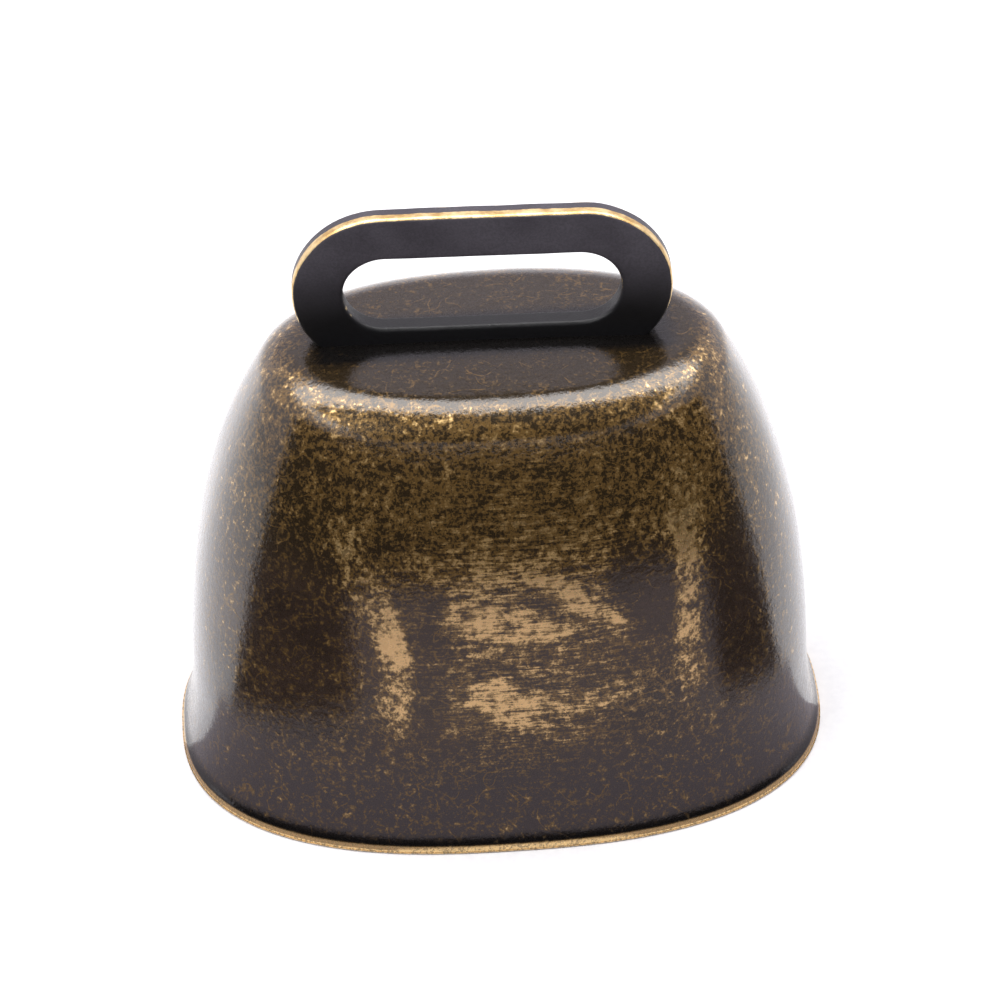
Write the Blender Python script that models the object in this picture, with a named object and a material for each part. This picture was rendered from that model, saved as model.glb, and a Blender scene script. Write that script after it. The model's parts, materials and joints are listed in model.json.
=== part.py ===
"""Small grazing cowbell: an oblong drawn-steel bell, mouth down, with a strap loop and a swinging clapper.

X runs along the long side of the mouth, Y through the bell, Z up. The mouth's rim stands on z = 0, and the
origin is the middle of the mouth. Lengths in the constants are metres.
"""

from math import asin, cos, pi, radians, sin, sqrt

import bmesh
import bpy
from mathutils import Matrix, Vector

MM = 0.001
GAP = 0.3 * MM

# Shell: one sheet, drawn into a cup, with its edge turned out at the mouth
RIM_HALF_WIDTH = 31.0 * MM
RIM_HALF_DEPTH = 20.5 * MM
SHEET = 1.0 * MM
LIP_OUT = 1.5 * MM
LIP_HEIGHT = 9.4 * MM
LIP_EDGE = 0.9 * MM
SHOULDER_Z = 45.4 * MM
SHOULDER_RADIUS = 2.5 * MM
CROWN_DOME = 0.2 * MM
CROWN_Z = SHOULDER_Z + CROWN_DOME
SIDE_TAPER, SIDE_POWER = 0.32, 3.0
FACE_TAPER, FACE_POWER = 0.41, 4.5
MOUTH_SQUARENESS, CROWN_SQUARENESS = 2.51, 2.32
SECTORS = 64

# Strap loop: a flat plate standing on edge, its lower bar let into a slit in the crown
LOOP_X = -0.9 * MM
LOOP_TWIST = radians(-2)
LOOP_HALF_LENGTH = 17.2 * MM
LOOP_HALF_HEIGHT = 8.3 * MM
LOOP_RISE = 5.35 * MM
LOOP_THICKNESS = 1.9 * MM
SLOT_HALF_LENGTH = 12.6 * MM
SLOT_HALF_HEIGHT = 3.85 * MM
LOOP_Z = CROWN_Z + LOOP_RISE
LOOP_ARC_STEPS = 14
BRAZE_FROM, BRAZE_TO = 3.6 * MM, 12.0 * MM
BRAZE_LEG = 1.3 * MM

# Clapper staple: a wire U under the crown, its legs on either side of the loop's lower bar
STAPLE_WIRE = 2.0 * MM
STAPLE_HALF_WIDTH = 3.4 * MM
STAPLE_BAR_Z = 38.6 * MM
INNER_CROWN_Z = CROWN_Z - SHEET
BEAD_RADIUS = 2.0 * MM
BEAD_HEIGHT = 1.5 * MM

# Swing link: a closed wire ring hung on the staple
LINK_WIRE = 1.8 * MM
LINK_RADIUS = 3.6 * MM
LINK_TOP_Z = STAPLE_BAR_Z + STAPLE_WIRE / 2 + LINK_WIRE / 2 + GAP
LINK_Z = LINK_TOP_Z - LINK_RADIUS
LINK_LOW_Z = LINK_Z - LINK_RADIUS

# Clapper: a wire with an eye, peened over under a drilled steel ball
ROD_WIRE = 1.8 * MM
EYE_RADIUS = 3.0 * MM
EYE_TOP_Z = LINK_LOW_Z + LINK_WIRE / 2 + ROD_WIRE / 2 + GAP
EYE_Z = EYE_TOP_Z - EYE_RADIUS
BALL_RADIUS = 6.0 * MM
BALL_Z = 10.5 * MM
BALL_BORE = ROD_WIRE / 2 + GAP
HEAD_RADIUS = 1.7 * MM
HEAD_HEIGHT = 0.9 * MM

BRONZE = ((0.065, 0.045, 0.030, 1.0), 0.38, 0.85)
CHARCOAL = ((0.050, 0.046, 0.048, 1.0), 0.45, 0.80)
BRAZE = ((0.42, 0.30, 0.13, 1.0), 0.45, 1.0)
STEEL = ((0.35, 0.35, 0.36, 1.0), 0.35, 1.0)
BALL_STEEL = ((0.42, 0.42, 0.43, 1.0), 0.25, 1.0)


def clear_scene():
    for obj in list(bpy.data.objects):
        bpy.data.objects.remove(obj, do_unlink=True)


def material(name, look):
    colour, roughness, metallic = look
    made = bpy.data.materials.new(name)
    made.use_nodes = True
    shader = made.node_tree.nodes["Principled BSDF"]
    shader.inputs["Base Color"].default_value = colour
    shader.inputs["Roughness"].default_value = roughness
    shader.inputs["Metallic"].default_value = metallic
    return made


def add_object(name, mesh, look, origin=(0, 0, 0)):
    """Link a mesh made in world coordinates as an object whose origin is moved to the point given."""
    mesh.transform(Matrix.Translation(-Vector(origin)))
    mesh.shade_smooth()
    mesh.set_sharp_from_angle(angle=radians(40))
    mesh.materials.append(look)
    obj = bpy.data.objects.new(name, mesh)
    obj.location = origin
    bpy.context.scene.collection.objects.link(obj)
    return obj


def mesh_from_bmesh(name, work):
    bmesh.ops.recalc_face_normals(work, faces=work.faces)
    mesh = bpy.data.meshes.new(name)
    work.to_mesh(mesh)
    work.free()
    return mesh


def ring_of(work, points):
    return [work.verts.new(point) for point in points]


def bridge(work, lower, upper):
    """Quads between two rings with the same number of vertices."""
    count = len(lower)
    for i in range(count):
        j = (i + 1) % count
        work.faces.new((lower[i], lower[j], upper[j], upper[i]))


def cap(work, ring, centre):
    middle = work.verts.new(centre)
    for i, vertex in enumerate(ring):
        work.faces.new((vertex, ring[(i + 1) % len(ring)], middle))


# ---------------------------------------------------------------- shell


def lip_flare(z):
    """How far the outer face stands out from the wall at height z, curving outwards down to the mouth."""
    return LIP_OUT * max(1 - z / LIP_HEIGHT, 0.0) ** 2


def shoulder_inset(z):
    """How far the rounded shoulder draws the outer face in at height z."""
    above = min(max(z - (SHOULDER_Z - SHOULDER_RADIUS), 0.0), SHOULDER_RADIUS)
    return SHOULDER_RADIUS - sqrt(SHOULDER_RADIUS**2 - above**2)


def outline_point(half_width, half_depth, squareness, angle, z):
    """A point of a superellipse, the oblong outline of every level of the bell."""
    c, s = cos(angle), sin(angle)
    x = half_width * abs(c) ** (2 / squareness) * (1 if c >= 0 else -1)
    y = half_depth * abs(s) ** (2 / squareness) * (1 if s >= 0 else -1)
    return Vector((x, y, z))


def outer_point(z, angle, crown=1.0):
    """The outer face at height z. With crown below 1 the point lies on the domed crown, towards its middle."""
    level = min(z / SHOULDER_Z, 1.0)
    change = lip_flare(z) - shoulder_inset(z)
    half_width = (RIM_HALF_WIDTH - LIP_OUT) * (1 - SIDE_TAPER * level**SIDE_POWER) + change
    half_depth = (RIM_HALF_DEPTH - LIP_OUT) * (1 - FACE_TAPER * level**FACE_POWER) + change
    squareness = MOUTH_SQUARENESS + (CROWN_SQUARENESS - MOUTH_SQUARENESS) * level
    height = z + CROWN_DOME * (1 - crown**2)
    return outline_point(half_width * crown, half_depth * crown, squareness, angle, height)


def shell_levels():
    """(height, crown share) of each ring, from the mouth up the wall, round the shoulder and over the crown."""
    lip = [LIP_EDGE + (LIP_HEIGHT - LIP_EDGE) * k / 5 for k in range(6)]
    wall_to = SHOULDER_Z - SHOULDER_RADIUS
    wall = [LIP_HEIGHT + (wall_to - LIP_HEIGHT) * sin(pi / 2 * k / 9) for k in range(1, 10)]
    shoulder = [wall_to + SHOULDER_RADIUS * sin(pi / 2 * k / 5) for k in range(1, 6)]
    levels = [(z, 1.0) for z in lip + wall + shoulder]
    return levels + [(SHOULDER_Z, share) for share in (0.85, 0.65, 0.42, 0.2)]


def outward_normal(level, angle):
    """The outer face's normal, from differences along the meridian and round the section."""
    z, crown = level
    step, turn = 0.02 * MM, radians(0.5)
    if crown < 1.0:
        up = outer_point(z, angle, crown - 0.01) - outer_point(z, angle, crown + 0.01)
    else:
        up = outer_point(min(z + step, SHOULDER_Z), angle) - outer_point(z - step, angle)
    round_ = outer_point(z, angle + turn, crown) - outer_point(z, angle - turn, crown)
    return round_.cross(up).normalized()


def shell_mesh():
    work = bmesh.new()
    angles = [2 * pi * k / SECTORS for k in range(SECTORS)]
    levels = shell_levels()
    outer = [[outer_point(z, a, crown) for a in angles] for z, crown in levels]
    inner = []
    for level, ring in zip(levels, outer):
        inner.append([point - outward_normal(level, a) * SHEET for point, a in zip(ring, angles)])
    inner = [ring for ring in inner if min(point.z for point in ring) > 0.6 * LIP_EDGE]
    edge = [outer_point(0.0, a) for a in angles]
    foot = [Vector((point.x, point.y, 0)) for point in inner[0]]
    rings = [ring_of(work, points) for points in reversed(inner)]
    rings += [ring_of(work, foot), ring_of(work, edge)]
    rings += [ring_of(work, points) for points in outer]
    for lower, upper in zip(rings, rings[1:]):
        bridge(work, lower, upper)
    cap(work, rings[0], (0, 0, INNER_CROWN_Z))
    cap(work, rings[-1], (0, 0, CROWN_Z))
    return mesh_from_bmesh("bell_shell", work)


def stadium(half_length, half_height, steps):
    """A slot-shaped outline in X and Z, round at both ends."""
    straight = half_length - half_height
    points = []
    for side, start in ((1, -pi / 2), (-1, pi / 2)):
        for k in range(steps + 1):
            angle = start + pi * k / steps
            points.append((side * straight + half_height * cos(angle), half_height * sin(angle)))
    return points


def loop_frame():
    return Matrix.Translation((LOOP_X, 0, LOOP_Z)) @ Matrix.Rotation(LOOP_TWIST, 4, "Z")


def plate_between(work, outline, thickness):
    """Both faces' rings of an outline in X and Z, with the edge wall between them."""
    front = ring_of(work, [(x, -thickness / 2, z) for x, z in outline])
    back = ring_of(work, [(x, thickness / 2, z) for x, z in outline])
    bridge(work, front, back)
    return front, back


def solid_plate_mesh(name, outline, thickness):
    work = bmesh.new()
    front, back = plate_between(work, outline, thickness)
    work.faces.new(front)
    work.faces.new(back)
    return mesh_from_bmesh(name, work)


def add_shell(look):
    shell = add_object("bell_shell", shell_mesh(), look)
    reach = LOOP_HALF_LENGTH + GAP, LOOP_HALF_HEIGHT + GAP
    outline = stadium(*reach, LOOP_ARC_STEPS)
    slit = solid_plate_mesh("crown_slit_cutter", outline, LOOP_THICKNESS + 2 * GAP)
    slit.transform(loop_frame())
    cutter = bpy.data.objects.new("crown_slit_cutter", slit)
    cutter.hide_render = True
    cutter.display_type = "WIRE"
    bpy.context.scene.collection.objects.link(cutter)
    cut = shell.modifiers.new("crown_slit", "BOOLEAN")
    cut.operation = "DIFFERENCE"
    cut.object = cutter
    cut.solver = "EXACT"
    return shell


# ---------------------------------------------------------------- strap loop


def add_loop(look):
    work = bmesh.new()
    outer_front, outer_back = plate_between(
        work, stadium(LOOP_HALF_LENGTH, LOOP_HALF_HEIGHT, LOOP_ARC_STEPS), LOOP_THICKNESS
    )
    slot_front, slot_back = plate_between(
        work, stadium(SLOT_HALF_LENGTH, SLOT_HALF_HEIGHT, LOOP_ARC_STEPS), LOOP_THICKNESS
    )
    bridge(work, outer_front, slot_front)
    bridge(work, outer_back, slot_back)
    mesh = mesh_from_bmesh("strap_loop", work)
    mesh.transform(loop_frame())
    return add_object("strap_loop", mesh, look, (LOOP_X, 0, LOOP_Z))


def add_loop_braze(name, face, end, look):
    """A short bead inside, in the corner between the crown and one face of the loop's lower bar."""
    near = LOOP_THICKNESS / 2 + GAP
    top = -LOOP_RISE - SHEET - GAP
    stations = 7
    work = bmesh.new()
    rings = []
    for k in range(stations):
        x = BRAZE_FROM + (BRAZE_TO - BRAZE_FROM) * k / (stations - 1)
        level = top - CROWN_DOME * (x / (RIM_HALF_WIDTH * (1 - SIDE_TAPER))) ** 2
        corners = [(near, level), (near + BRAZE_LEG, level - 0.1 * BRAZE_LEG)]
        corners += [(near + 0.35 * BRAZE_LEG, level - 0.65 * BRAZE_LEG), (near, level - BRAZE_LEG)]
        rings.append(ring_of(work, [(end * x, face * y, z) for y, z in corners]))
    for first, second in zip(rings, rings[1:]):
        bridge(work, first, second)
    work.faces.new(rings[0])
    work.faces.new(rings[-1])
    mesh = mesh_from_bmesh(name, work)
    mesh.transform(loop_frame())
    return add_object(name, mesh, look)


# ---------------------------------------------------------------- wires


def tube_along(work, points, normals, radius, sides, closed):
    """Rings of a round wire along points; normals lie across the path, in the plane that the wire bends in."""
    rings = []
    count = len(points)
    for i, (point, normal) in enumerate(zip(points, normals)):
        before = points[i - 1] if closed or i else point
        after = points[(i + 1) % count] if closed or i + 1 < count else point
        across = (after - before).normalized().cross(normal)
        turns = [2 * pi * k / sides for k in range(sides)]
        rings.append(ring_of(work, [point + (normal * cos(t) + across * sin(t)) * radius for t in turns]))
    for first, second in zip(rings, rings[1:] + (rings[:1] if closed else [])):
        bridge(work, first, second)
    return rings


def add_staple(look):
    """A U of wire in the YZ plane: two legs joined by a half-round bend below."""
    bend_z = STAPLE_BAR_Z + STAPLE_HALF_WIDTH
    leg_top = INNER_CROWN_Z - GAP - 0.15 * MM
    steps = 14
    points = [Vector((0, STAPLE_HALF_WIDTH, leg_top))]
    normals = [Vector((0, 1, 0))]
    for k in range(steps + 1):
        angle = -pi * k / steps
        out = Vector((0, cos(angle), sin(angle)))
        points.append(Vector((0, 0, bend_z)) + out * STAPLE_HALF_WIDTH)
        normals.append(out)
    points.append(Vector((0, -STAPLE_HALF_WIDTH, leg_top)))
    normals.append(Vector((0, -1, 0)))
    work = bmesh.new()
    rings = tube_along(work, points, normals, STAPLE_WIRE / 2, 12, closed=False)
    work.faces.new(rings[0])
    work.faces.new(rings[-1])
    return add_object("clapper_staple", mesh_from_bmesh("clapper_staple", work), look)


def add_staple_braze(name, side, look):
    """A collar of braze round the top of one staple leg, against the crown."""
    work = bmesh.new()
    hole = STAPLE_WIRE / 2 + 0.1 * MM
    top = INNER_CROWN_Z - GAP - 0.3 * MM
    profile = [(hole, top), (BEAD_RADIUS, top - 0.1 * MM), (0.72 * BEAD_RADIUS, top - 0.6 * BEAD_HEIGHT)]
    profile += [(hole + 0.1 * MM, top - BEAD_HEIGHT), (hole, top - BEAD_HEIGHT)]
    sides = 20
    rings = []
    for radius, z in profile:
        turns = [2 * pi * k / sides for k in range(sides)]
        centre_y = side * STAPLE_HALF_WIDTH
        rings.append(ring_of(work, [(radius * cos(t), centre_y + radius * sin(t), z) for t in turns]))
    for first, second in zip(rings, rings[1:] + rings[:1]):
        bridge(work, first, second)
    return add_object(name, mesh_from_bmesh(name, work), look)


def add_link(look):
    """A closed ring of wire in the XZ plane, hung on the staple's bend."""
    steps = 28
    normals = [Vector((cos(2 * pi * k / steps), 0, sin(2 * pi * k / steps))) for k in range(steps)]
    points = [Vector((0, 0, LINK_Z)) + normal * LINK_RADIUS for normal in normals]
    work = bmesh.new()
    tube_along(work, points, normals, LINK_WIRE / 2, 12, closed=True)
    return add_object("swing_link", mesh_from_bmesh("swing_link", work), look, (0, 0, STAPLE_BAR_Z))


# ---------------------------------------------------------------- clapper


def eye_mesh():
    """The rod's eye: a closed ring of wire in the YZ plane."""
    steps = 28
    normals = [Vector((0, cos(2 * pi * k / steps), sin(2 * pi * k / steps))) for k in range(steps)]
    points = [Vector((0, 0, EYE_Z)) + normal * EYE_RADIUS for normal in normals]
    work = bmesh.new()
    tube_along(work, points, normals, ROD_WIRE / 2, 12, closed=True)
    return mesh_from_bmesh("rod_eye", work)


def turned_mesh(name, profile, sides):
    """A solid turned round the Z axis, from (radius, z) points that start and end on the axis."""
    work = bmesh.new()
    rings = []
    for radius, z in profile[1:-1]:
        turns = [2 * pi * k / sides for k in range(sides)]
        rings.append(ring_of(work, [(radius * cos(t), radius * sin(t), z) for t in turns]))
    for first, second in zip(rings, rings[1:]):
        bridge(work, first, second)
    cap(work, rings[0], (0, 0, profile[0][1]))
    cap(work, rings[-1], (0, 0, profile[-1][1]))
    return mesh_from_bmesh(name, work)


def rod_profile():
    """The straight wire from the foot of the eye to the peened head below the ball."""
    top = EYE_Z - EYE_RADIUS + 0.3 * ROD_WIRE
    head_top = BALL_Z - sqrt(BALL_RADIUS**2 - BALL_BORE**2) - GAP
    low = head_top - HEAD_HEIGHT
    profile = [(0, top), (0.7 * ROD_WIRE / 2, top), (ROD_WIRE / 2, top - 0.3 * ROD_WIRE)]
    profile += [(ROD_WIRE / 2, head_top), (HEAD_RADIUS, head_top)]
    profile += [(HEAD_RADIUS, head_top - 0.3 * HEAD_HEIGHT), (0.6 * HEAD_RADIUS, low), (0, low)]
    return profile


def add_rod(look):
    rod = add_object("clapper_rod", turned_mesh("clapper_rod", rod_profile(), 16), look, (0, 0, LINK_LOW_Z))
    eye = bpy.data.objects.new("rod_eye_form", eye_mesh())
    eye.hide_render = True
    eye.display_type = "WIRE"
    bpy.context.scene.collection.objects.link(eye)
    join = rod.modifiers.new("eye", "BOOLEAN")
    join.operation = "UNION"
    join.object = eye
    join.solver = "EXACT"
    return rod


def add_ball(look):
    """A ball with a hole drilled down its middle, open at both ends."""
    steps, sides = 18, 24
    tip = asin(BALL_BORE / BALL_RADIUS)
    work = bmesh.new()
    rings = []
    for k in range(steps + 1):
        polar = tip + (pi - 2 * tip) * k / steps
        radius, z = BALL_RADIUS * sin(polar), BALL_Z + BALL_RADIUS * cos(polar)
        turns = [2 * pi * i / sides for i in range(sides)]
        rings.append(ring_of(work, [(radius * cos(t), radius * sin(t), z) for t in turns]))
    for first, second in zip(rings, rings[1:] + rings[:1]):
        bridge(work, first, second)
    return add_object("clapper_ball", mesh_from_bmesh("clapper_ball", work), look, (0, 0, LINK_LOW_Z))


def hang(child, parent):
    """Parent a piece to another and keep it where it is."""
    child.parent = parent
    child.location = child.location - parent.location


def main():
    clear_scene()
    braze = material("braze", BRAZE)
    shell = add_shell(material("antique_bronze", BRONZE))
    add_loop(material("charcoal_bronze", CHARCOAL))
    add_staple(material("blackened_steel", STEEL))
    for place, side in (("front", -1), ("back", 1)):
        for hand, end in (("left", -1), ("right", 1)):
            add_loop_braze(f"loop_braze_{place}_{hand}", side, end, braze)
        add_staple_braze("staple_braze_" + place, side, braze)
    link = add_link(material("link_steel", STEEL))
    rod = add_rod(material("rod_steel", STEEL))
    ball = add_ball(material("ball_steel", BALL_STEEL))
    hang(ball, rod)
    hang(rod, link)
    hang(link, shell)


main()
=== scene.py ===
"""Looks of the small grazing cowbell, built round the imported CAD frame. Lengths are metres, +Z up."""

import json
from math import asin, cos, pi, radians, sin, sqrt

import bmesh
import bpy
from mathutils import Matrix, Vector, geometry, noise


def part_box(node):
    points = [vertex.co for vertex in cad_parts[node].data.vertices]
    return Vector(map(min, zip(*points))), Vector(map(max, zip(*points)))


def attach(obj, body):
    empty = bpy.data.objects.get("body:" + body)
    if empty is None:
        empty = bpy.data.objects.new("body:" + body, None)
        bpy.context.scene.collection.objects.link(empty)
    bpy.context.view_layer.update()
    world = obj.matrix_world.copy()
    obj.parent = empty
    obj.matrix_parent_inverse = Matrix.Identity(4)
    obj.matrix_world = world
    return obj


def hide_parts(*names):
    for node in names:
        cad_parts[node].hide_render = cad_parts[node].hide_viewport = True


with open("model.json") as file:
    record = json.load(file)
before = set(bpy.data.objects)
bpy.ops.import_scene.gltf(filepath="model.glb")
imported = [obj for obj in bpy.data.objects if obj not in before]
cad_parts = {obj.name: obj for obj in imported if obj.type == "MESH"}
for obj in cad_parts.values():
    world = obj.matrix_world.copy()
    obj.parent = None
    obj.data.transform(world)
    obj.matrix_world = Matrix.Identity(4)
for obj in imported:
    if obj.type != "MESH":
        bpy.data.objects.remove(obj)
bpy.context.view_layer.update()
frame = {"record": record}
JOINTS = {joint["name"]: joint for joint in frame["record"]["behaviour"]["joints"]}

# ---------------------------------------------------------------- sizes, from the frame and as in the CAD

MM = 0.001
GAP = 0.3 * MM

SHELL_HIGH = Vector(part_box("bell_shell")[1])
LOOP_LOW, LOOP_HIGH = (Vector(corner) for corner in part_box("strap_loop"))
BALL_LOW, BALL_HIGH = (Vector(corner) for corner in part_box("clapper_ball"))
ROD_HIGH = Vector(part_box("clapper_rod")[1])
LINK_LOW, LINK_HIGH = (Vector(corner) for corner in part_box("swing_link"))
STAPLE_HIGH = Vector(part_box("clapper_staple")[1])

# Shell
RIM_HALF_WIDTH, RIM_HALF_DEPTH = SHELL_HIGH.x, SHELL_HIGH.y
SHEET = 1.0 * MM
FLARE_OUT, FLARE_HEIGHT = 1.25 * MM, 9.4 * MM
CURL_OUT, CURL_HEIGHT = 0.25 * MM, 2.2 * MM
LIP_OUT = FLARE_OUT + CURL_OUT
CUT_EDGE = 0.8 * MM
EDGE_ROUNDING = 0.25 * MM
CROWN_Z = 45.6 * MM
CROWN_DOME = 0.2 * MM
SHOULDER_Z = CROWN_Z - CROWN_DOME
SHOULDER_RADIUS = 2.5 * MM
SIDE_TAPER, SIDE_POWER = 0.32, 3.0
FACE_TAPER, FACE_POWER = 0.41, 4.5
MOUTH_SQUARENESS, CROWN_SQUARENESS = 2.51, 2.32
SECTORS = 288

# Strap loop
LOOP_X = (LOOP_LOW.x + LOOP_HIGH.x) / 2
LOOP_TWIST = radians(-2)
LOOP_HALF_LENGTH = 17.2 * MM
LOOP_HALF_HEIGHT = (LOOP_HIGH.z - LOOP_LOW.z) / 2
LOOP_Z = (LOOP_HIGH.z + LOOP_LOW.z) / 2
LOOP_THICKNESS = 1.9 * MM
SLOT_HALF_LENGTH, SLOT_HALF_HEIGHT = 12.6 * MM, 3.85 * MM
BRAZE_FROM, BRAZE_TO = 3.6 * MM, 12.0 * MM
BRAZE_LEG = 1.3 * MM

# Staple, link and clapper
STAPLE_WIRE = 2.0 * MM
STAPLE_HALF_WIDTH = 3.4 * MM
STAPLE_BAR_Z = JOINTS["link_sway"]["pos_m"][2]
BEAD_RADIUS, BEAD_HEIGHT = 2.0 * MM, 1.5 * MM
LINK_WIRE = 1.8 * MM
LINK_RADIUS = (LINK_HIGH.z - LINK_LOW.z - LINK_WIRE) / 2
LINK_Z = (LINK_HIGH.z + LINK_LOW.z) / 2
ROD_WIRE = 1.8 * MM
EYE_RADIUS = 3.0 * MM
EYE_Z = ROD_HIGH.z - ROD_WIRE / 2 - EYE_RADIUS
HEAD_RADIUS, HEAD_HEIGHT = 1.7 * MM, 0.9 * MM
BALL_RADIUS = (BALL_HIGH.x - BALL_LOW.x) / 2
BALL_Z = (BALL_HIGH.z + BALL_LOW.z) / 2
BALL_BORE = ROD_WIRE / 2 + GAP
WIRE_SIDES = 32


# ---------------------------------------------------------------- mesh helpers


def sweep(start, stop, steps):
    """Evenly spaced values from start to stop, both included."""
    return [start + (stop - start) * k / steps for k in range(steps + 1)]


def full_turn(count):
    return [2 * pi * k / count for k in range(count)]


def between(value, start, stop):
    """0 at start and before it, 1 at stop and past it, and a straight change from one to the other."""
    return min(max((value - start) / (stop - start), 0.0), 1.0)


def mesh_object(name, work, smooth_angle=40):
    bmesh.ops.recalc_face_normals(work, faces=work.faces)
    mesh = bpy.data.meshes.new(name)
    work.to_mesh(mesh)
    work.free()
    mesh.shade_smooth()
    mesh.set_sharp_from_angle(angle=radians(smooth_angle))
    obj = bpy.data.objects.new(name, mesh)
    bpy.context.scene.collection.objects.link(obj)
    return obj


def ring_of(work, points):
    return [work.verts.new(point) for point in points]


def bridge(work, lower, upper):
    count = len(lower)
    for i in range(count):
        j = (i + 1) % count
        work.faces.new((lower[i], lower[j], upper[j], upper[i]))


def loft(work, rings, closed=False):
    """Join each ring to the next, and the last to the first where closed."""
    for lower, upper in zip(rings, rings[1:] + (rings[:1] if closed else [])):
        bridge(work, lower, upper)


def cap(work, ring, centre):
    middle = work.verts.new(centre)
    for i, vertex in enumerate(ring):
        work.faces.new((vertex, ring[(i + 1) % len(ring)], middle))
    return middle


def lump(point, size, depth, seed=0):
    """A smooth random height of about depth, with bumps about size across."""
    return depth * noise.noise(point / size + Vector((seed, 2 * seed, 5)))


def dress(piece, body, slot, look, *nodes):
    """Give a new piece its material and body, and let it stand for its CAD nodes. The slot is not used."""
    piece.data.materials.clear()
    piece.data.materials.append(look)
    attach(piece, body)
    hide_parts(*nodes)
    return piece


# ---------------------------------------------------------------- shell


def lip_flare(z):
    """How far the lip stands out from the wall: a long gentle flare, and a short curl at the cut edge."""
    flare = FLARE_OUT * between(z, FLARE_HEIGHT, 0.0) ** 2
    curl = CURL_OUT * between(z, CURL_HEIGHT, CUT_EDGE) ** 2
    return flare + curl


def shoulder_inset(z):
    """How far the rounding of the shoulder draws the wall in."""
    above = min(max(z - (SHOULDER_Z - SHOULDER_RADIUS), 0.0), SHOULDER_RADIUS)
    return SHOULDER_RADIUS - sqrt(SHOULDER_RADIUS**2 - above**2)


def outer_point(z, angle, crown=1.0):
    """The outer face at height z. With crown below 1 the point lies on the domed crown."""
    level = min(z / SHOULDER_Z, 1.0)
    change = lip_flare(z) - shoulder_inset(z)
    half_width = (RIM_HALF_WIDTH - LIP_OUT) * (1 - SIDE_TAPER * level**SIDE_POWER) + change
    half_depth = (RIM_HALF_DEPTH - LIP_OUT) * (1 - FACE_TAPER * level**FACE_POWER) + change
    squareness = MOUTH_SQUARENESS + (CROWN_SQUARENESS - MOUTH_SQUARENESS) * level
    c, s = cos(angle), sin(angle)
    x = crown * half_width * abs(c) ** (2 / squareness) * (1 if c >= 0 else -1)
    y = crown * half_depth * abs(s) ** (2 / squareness) * (1 if s >= 0 else -1)
    return Vector((x, y, z + CROWN_DOME * (1 - crown**2)))


def outward_normal(z, crown, angle):
    step, turn = 0.02 * MM, radians(0.4)
    if crown < 1.0:
        up = outer_point(z, angle, crown - 0.01) - outer_point(z, angle, crown + 0.01)
    else:
        up = outer_point(min(z + step, SHOULDER_Z), angle) - outer_point(max(z - step, 0), angle)
    around = outer_point(z, angle + turn, crown) - outer_point(z, angle - turn, crown)
    return around.cross(up).normalized()


def even_angles():
    """Parameter values that space the vertices evenly round the mouth."""
    fine = 4000
    steps = [outer_point(0, angle) for angle in sweep(0.0, 2 * pi, fine)]
    lengths = [0.0]
    for first, second in zip(steps, steps[1:]):
        lengths.append(lengths[-1] + (second - first).length)
    angles, i = [], 0
    for k in range(SECTORS):
        target = lengths[-1] * k / SECTORS
        while lengths[i + 1] < target:
            i += 1
        share = (target - lengths[i]) / (lengths[i + 1] - lengths[i])
        angles.append(2 * pi * (i + share) / fine)
    return angles


def shell_levels():
    """(height, crown share) of each ring: up the lip, the wall and the shoulder, then over the crown."""
    curl = sweep(EDGE_ROUNDING, CURL_HEIGHT, 10)
    flare = sweep(CURL_HEIGHT, FLARE_HEIGHT, 12)[1:]
    wall_to = SHOULDER_Z - SHOULDER_RADIUS
    wall = sweep(FLARE_HEIGHT, wall_to, 54)[1:]
    shoulder = [wall_to + SHOULDER_RADIUS * sin(turn) for turn in sweep(0.0, pi / 2, 14)[1:]]
    crown = [(SHOULDER_Z, share) for share in sweep(1.0, 0.0, 16)[1:-1]]
    return [(z, 1.0) for z in curl + flare + wall + shoulder] + crown


def unevenness(point):
    """Slight waviness that pressing and tumbling leave in thin sheet."""
    return lump(point, 14 * MM, 0.08 * MM, 1) + lump(point, 5 * MM, 0.025 * MM, 3)


def cut_edge_rings(angles):
    """Rings round the lower outer corner of the rim, which filing has rounded."""
    rings = []
    for turn in sweep(0.0, pi / 2, 4):
        inset, lift = EDGE_ROUNDING * (1 - sin(turn)), EDGE_ROUNDING * (1 - cos(turn))
        ring = []
        for angle in angles:
            point = outer_point(0, angle)
            nick = lump(point, 1.2 * MM, 0.05 * MM, 8) * (1 - lift / EDGE_ROUNDING)
            point -= point.normalized() * (inset + nick)
            point.z = lift
            ring.append(point)
        rings.append(ring)
    return rings


def sheet_faces(angles):
    """Rows of points up the outer face, and one sheet thickness behind them up the inner face."""
    calm_below = 6 * MM
    outer, inner = [], []
    for z, crown in shell_levels():
        row, behind = [], []
        for angle in angles:
            point = outer_point(z, angle, crown)
            normal = outward_normal(z, crown, angle)
            dent = unevenness(point) * between(z, 0.0, calm_below)
            row.append(point + normal * dent)
            behind.append(point + normal * (dent - SHEET))
        outer.append(row)
        inner.append(behind)
    return outer, inner


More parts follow.
